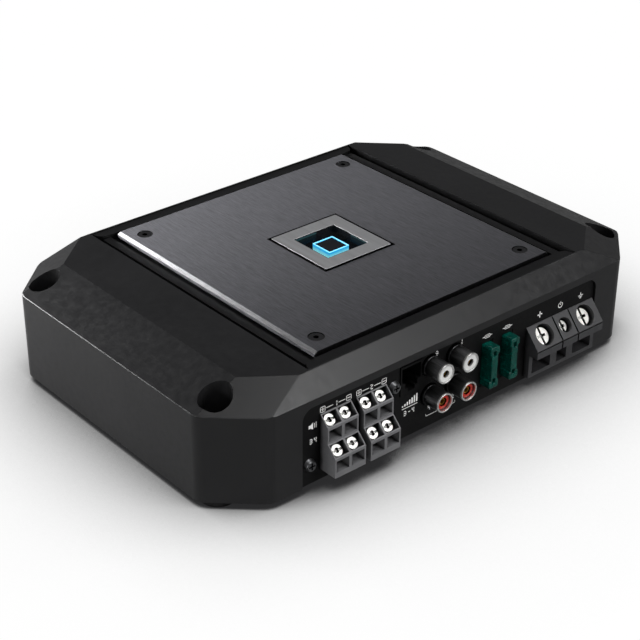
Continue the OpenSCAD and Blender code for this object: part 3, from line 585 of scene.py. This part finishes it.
def add_marks(name, shapes, face_y, side, body=CHASSIS):
    """Thin printed shapes on a panel that faces -Y (side -1) or +Y (side 1)."""
    ink = bmesh.new()
    thick = 0.03
    for points in shapes:
        front = [ink.verts.new((x * MM, face_y + side * thick * MM, z * MM)) for x, z in points]
        back = [ink.verts.new((x * MM, face_y, z * MM)) for x, z in points]
        ink.faces.new(front)
        ink.faces.new(back[::-1])
        for i in range(len(points)):
            j = (i + 1) % len(points)
            ink.faces.new((front[i], back[i], back[j], front[j]))
    bmesh.ops.recalc_face_normals(ink, faces=ink.faces)
    mesh = bpy.data.meshes.new(name)
    ink.to_mesh(mesh)
    ink.free()
    marks = bpy.data.objects.new(name, mesh)
    bpy.context.scene.collection.objects.link(marks)
    dress(marks, "white_plastic")
    mesh.materials[0] = look["ink"]
    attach(marks, body)
    return marks


def middle(node):
    low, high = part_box(node)
    return (low + high) / 2 / MM


def speaker_marks():
    """A polarity box at each end of a line over each pair of terminals, with the channel's number."""
    shapes = []
    for channel, node in ((1, "speaker_block_left"), (2, "speaker_block_right")):
        low, high = (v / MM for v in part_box(node))
        x0, x1, z = low.x + 1.2, high.x - 1.2, high.z + 1.6
        for x, sign in ((x0, plus), (x1, minus)):
            shapes += frame_of(x - 1.25, z - 1.25, 2.5, 2.5)
            shapes += sign(x, z)
        centre = (x0 + x1) / 2
        shapes += digit(centre - 0.6, z - 1.1, channel)
        shapes.append(bar(x0 + 1.7, z - 0.13, centre - x0 - 3, 0.26))
        shapes.append(bar(centre + 1.3, z - 0.13, x1 - centre - 3, 0.26))
    low, high = (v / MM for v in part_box("speaker_block_left"))
    x = low.x - 5.6
    shapes += [bar(x, high.z - 4.4, 0.9, 1.4)]
    horn = [(0.9, -4.4), (2.1, -5.2), (2.1, -2.2), (0.9, -3)]
    shapes.append([(x + across, high.z + up) for across, up in horn])
    for i in (0, 1):
        shapes += [bar(x + 2.7 + 0.8 * i, high.z - 4.7 - 0.3 * i, 0.22, 2 + 0.6 * i)]
    shapes += digit(x + 0.6, high.z - 11.4, 3) + digit(x + 2.6, high.z - 11.4, 4)
    return shapes


def socket_marks():
    """A rising scale below the level socket, and numbers and a bracket round the phono sockets."""
    shapes = []
    jack = middle("level_socket")
    for i in range(7):
        shapes.append(bar(jack.x - 4.2 + 1.25 * i, 17.6, 0.7, 0.6 + 0.5 * i))
    shapes += [bar(jack.x - 4.2, 16.5, 8.2, 0.3)]
    shapes += digit(jack.x - 3, 13.2, 3) + minus(jack.x - 0.2, 14.3, 0.5) + digit(jack.x + 1.2, 13.2, 4)
    low, high = (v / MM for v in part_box("rca_shells"))
    left, right = low.x + 4.4, high.x - 4.4
    for x, number in ((left, 3), (right, 1)):
        shapes += digit(x + 2.8, high.z - 1.3, number, 1.15, 2.0, 0.34)
    shapes += digit(left - 0.5, low.z - 3.1, 4) + digit(right - 0.5, low.z - 3.1, 2)
    z = low.z - 5.6
    shapes.append(bar(left - 1.5, z, right - left + 3, 0.2))
    shapes.append(bar(left - 1.5, z, 0.2, 1.1))
    shapes.append(bar(right + 1.3, z, 0.2, 1.1))
    return shapes


def power_marks():
    """A fuse sign over each fuse, and plus, switch and earth signs over the power terminals."""
    shapes = []
    for node in ("fuse_left", "fuse_right"):
        spot = middle(node)
        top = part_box(node)[1].z / MM
        shapes += frame_of(spot.x - 1.6, top + 2.2, 3.2, 1.6)
        shapes += [bar(spot.x - 2.7, top + 2.87, 5.4, 0.26)]
    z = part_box("power_block")[1].z / MM + 3.6
    xs = [middle(f"power_screw_{i}").x for i in (1, 2, 3)]
    shapes += plus(xs[0], z, 1.4, 0.5)
    shapes += [bar(xs[1] - 0.18, z, 0.36, 1.6)]
    for i in range(10):
        a0, a1 = (math.radians(120 + 30 * (i + k)) for k in (0, 1))
        ring = [(1.4, a0), (1.4, a1), (1.06, a1), (1.06, a0)]
        shapes.append([(xs[1] + r * math.cos(a), z + r * math.sin(a)) for r, a in ring])
    shapes += [bar(xs[2] - 0.17, z, 0.34, 1.5)]
    for i in range(3):
        shapes += [bar(xs[2] - 1.5 + 0.5 * i, z - 0.62 * i, 3 - i, 0.32)]
    return shapes


def control_marks():
    """A ring of ticks round each knob and three stops over each switch."""
    shapes = []
    for node in ("gain_knob_1", "gain_knob_2", "crossover_knob_1", "crossover_knob_2"):
        spot = middle(node)
        for i in range(11):
            turn = math.radians(90 - 150 + 30 * i)
            along = Vector((math.cos(turn), math.sin(turn)))
            across = Vector((-along.y, along.x)) * (0.16 if i % 5 else 0.26)
            near = Vector((spot.x, spot.z)) + along * 6
            far = near + along * (1.1 if i % 5 else 1.6)
            shapes.append([tuple(v) for v in (near - across, far - across, far + across, near + across)])
    for node in ("filter_slider_1", "filter_slider_2"):
        spot = middle(node)
        for i in (-1, 0, 1):
            shapes.append(bar(spot.x + 2.5 * i - 0.15, spot.z + 3, 0.3, 1.3))
        shapes += [bar(spot.x - 2.65, spot.z + 4.3, 5.3, 0.22)]
    return shapes


# ---------- small parts inside the sockets ----------

def tube(name, points, radius, slot):
    """A round wire through points, in millimetres."""
    curve = bpy.data.curves.new(name, "CURVE")
    curve.dimensions = "3D"
    curve.bevel_depth = radius * MM
    curve.bevel_resolution = 3
    curve.use_fill_caps = True
    spline = curve.splines.new("POLY")
    spline.points.add(len(points) - 1)
    for target, point in zip(spline.points, points):
        target.co = (*(v * MM for v in point), 1)
    wire = bpy.data.objects.new(name, curve)
    bpy.context.scene.collection.objects.link(wire)
    wire.data.materials.append(look[slot])
    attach(wire, CHASSIS)
    return wire


def add_socket_wires():
    """Six sprung contacts that slope down through the level socket."""
    low, high = (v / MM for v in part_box("level_socket"))
    centre = (low.x + high.x) / 2
    roof = high.z - 1.6
    for i in range(6):
        x = centre + (i - 2.5) * 1.02
        points = [(x, low.y + 2.2, roof), (x, low.y + 3.2, roof - 0.2), (x, low.y + 10, roof - 4)]
        tube(f"socket_contact_{i + 1}", points, 0.2, "nickel")


def add_phono_contacts():
    """A gilt sleeve down the bore of each phono socket, held by the body behind the panel."""
    low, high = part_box("rca_shells")
    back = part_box("rca_body")[1].y - 1.2 * MM
    front = low.y + 1.8 * MM
    outer = 1.4 * MM
    inner = 1.05 * MM
    flange = 4.4 * MM
    spots = [(x, z) for x in (low.x + flange, high.x - flange) for z in (low.z + flange, high.z - flange)]
    for number, (x, z) in enumerate(spots, 1):
        sleeve = bmesh.new()
        profile = [(outer, front), (inner, front), (inner, back), (outer, back)]
        ring = [sleeve.verts.new((x + r, y, z)) for r, y in profile]
        edges = [sleeve.edges.new((ring[i], ring[(i + 1) % 4])) for i in range(4)]
        bmesh.ops.spin(
            sleeve, geom=ring + edges, cent=(x, 0, z), axis=(0, 1, 0),
            angle=math.tau, steps=32, use_merge=True,
        )
        bmesh.ops.recalc_face_normals(sleeve, faces=sleeve.faces)
        mesh = bpy.data.meshes.new(f"phono_contact_{number}")
        sleeve.to_mesh(mesh)
        sleeve.free()
        contact = bpy.data.objects.new(f"phono_contact_{number}", mesh)
        bpy.context.scene.collection.objects.link(contact)
        dress(contact, "gilt")
        smooth_by_angle(contact)
        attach(contact, CHASSIS)


# ---------- camera, light and floor ----------

def add_camera():
    """A long lens from above the front left corner."""
    data = bpy.data.cameras.new("camera")
    data.sensor_width = 36.0
    data.lens = 91.8
    camera = bpy.data.objects.new("camera", data)
    bpy.context.scene.collection.objects.link(camera)
    azimuth, elevation, roll = (math.radians(v) for v in (-40.63, 29.85, 0.31))
    back = Vector((
        math.sin(azimuth) * math.cos(elevation),
        -math.cos(azimuth) * math.cos(elevation),
        math.sin(elevation),
    ))
    right = Vector((0, 0, 1)).cross(back).normalized()
    turn = Matrix((right, back.cross(right), back)).transposed() @ Matrix.Rotation(roll, 3, "Z")
    camera.matrix_world = Matrix.Translation((-0.3993, -0.4587, 0.3613)) @ turn.to_4x4()
    bpy.context.scene.camera = camera


def add_area(name, towards, distance, size, power):
    """A soft box that looks at the object from a direction."""
    data = bpy.data.lights.new(name, "AREA")
    data.shape = "RECTANGLE"
    data.size, data.size_y = size
    data.energy = power
    lamp = bpy.data.objects.new(name, data)
    bpy.context.scene.collection.objects.link(lamp)
    lamp.location = Vector(towards).normalized() * distance
    lamp.rotation_euler = (-lamp.location).to_track_quat("-Z", "Y").to_euler()


def add_floor():
    """A pale floor with a soft contact shade, which throws little light up at the dark paint."""
    mesh = bpy.data.meshes.new("floor")
    made = bmesh.new()
    bmesh.ops.create_grid(made, x_segments=2, y_segments=2, size=3)
    made.to_mesh(mesh)
    made.free()
    floor = bpy.data.objects.new("floor", mesh)
    bpy.context.scene.collection.objects.link(floor)
    s = Shader("floor_white")
    shade = s.node("ShaderNodeAmbientOcclusion", samples=16)
    shade.inputs["Distance"].default_value = 0.13
    open_sky = s.ramp(shade.outputs["AO"], 0.0, 1.0, 0.36, 0.95)
    s.feed("Emission Color", s.blend(open_sky, "#2a2a2b", "#ffffff"))
    s.feed("Base Color", s.blend(s.noise(0.5), "#0a0a0a", "#0c0c0c"))
    s.set(Roughness=1.0, Specular_IOR_Level=0.0, Emission_Strength=1.0)
    dull = s.node("ShaderNodeBsdfDiffuse")
    dull.inputs["Color"].default_value = (0.3, 0.3, 0.3, 1)
    choice = s.node("ShaderNodeMixShader")
    s.link(s.node("ShaderNodeLightPath").outputs["Is Camera Ray"], choice.inputs[0])
    s.link(dull.outputs[0], choice.inputs[1])
    s.link(s.surface.outputs[0], choice.inputs[2])
    s.link(choice.outputs[0], s.tree.nodes["Material Output"].inputs["Surface"])
    mesh.materials.append(s.material)


def add_world():
    """White to the camera; to the object, a dim room with a pale horizon."""
    world = bpy.data.worlds.new("studio")
    world.use_nodes = True
    tree = world.node_tree
    background = tree.nodes["Background"]
    place = tree.nodes.new("ShaderNodeTexCoord")
    split = tree.nodes.new("ShaderNodeSeparateXYZ")
    level = tree.nodes.new("ShaderNodeMath")
    level.operation = "ABSOLUTE"
    band = tree.nodes.new("ShaderNodeMapRange")
    band.interpolation_type = "SMOOTHSTEP"
    for key, number in zip(("From Min", "From Max", "To Min", "To Max"), (0.05, 0.4, 0.25, 0.06)):
        band.inputs[key].default_value = number
    seen = tree.nodes.new("ShaderNodeLightPath")
    choice = tree.nodes.new("ShaderNodeMix")
    choice.data_type = "FLOAT"
    choice.inputs["B"].default_value = 1.0
    tree.links.new(place.outputs["Generated"], split.inputs[0])
    tree.links.new(split.outputs["Z"], level.inputs[0])
    tree.links.new(level.outputs[0], band.inputs["Value"])
    tree.links.new(band.outputs["Result"], choice.inputs["A"])
    tree.links.new(seen.outputs["Is Camera Ray"], choice.inputs["Factor"])
    tree.links.new(choice.outputs["Result"], background.inputs["Strength"])
    background.inputs["Color"].default_value = (1, 1, 1, 1)
    bpy.context.scene.world = world


def add_lights():
    """A soft box behind the left edge rakes the brushed plate; the others pick out the facets."""
    add_area("rake", (-0.55, 0.77, 0.3), 0.45, (0.16, 0.16), 2.5)
    add_area("overhead", (0.0, -0.3, 1.0), 1.3, (0.5, 0.5), 7)
    add_area("left", (-0.95, 0.1, 0.05), 1.4, (0.5, 0.5), 8)
    add_area("front", (0.3, -0.86, 0.36), 1.4, (0.5, 0.5), 8)
    add_area("camera_side", (-0.75, -0.6, 0.4), 1.4, (0.6, 0.6), 2.4)
    add_area("screws", (0.565, -0.497, 0.657), 1.4, (0.3, 0.3), 2.2)


# ---------- building ----------

SOFT = {
    "badge_bezel": 0.15, "speaker_block_left": 0.22, "speaker_block_right": 0.22, "power_block": 0.28,
    "fuse_left": 0.3, "fuse_right": 0.3, "rca_shells": 0.15, "light_ring": 0.12, "badge_cap": 0.15,
}

for name, thing in nodes.items():
    soften(thing, SOFT.get(name, 0))
add_shell()

front_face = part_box("connector_panel")[0].y
rear_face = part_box("control_panel")[1].y
add_marks("speaker_marks", speaker_marks(), front_face, -1)
add_marks("socket_marks", socket_marks(), front_face, -1)
add_marks("power_marks", power_marks(), front_face, -1)
add_marks("control_marks", control_marks(), rear_face, 1)
add_socket_wires()
add_phono_contacts()

add_camera()
add_world()
add_floor()
add_lights()
bpy.context.scene.view_settings.view_transform = "Standard"
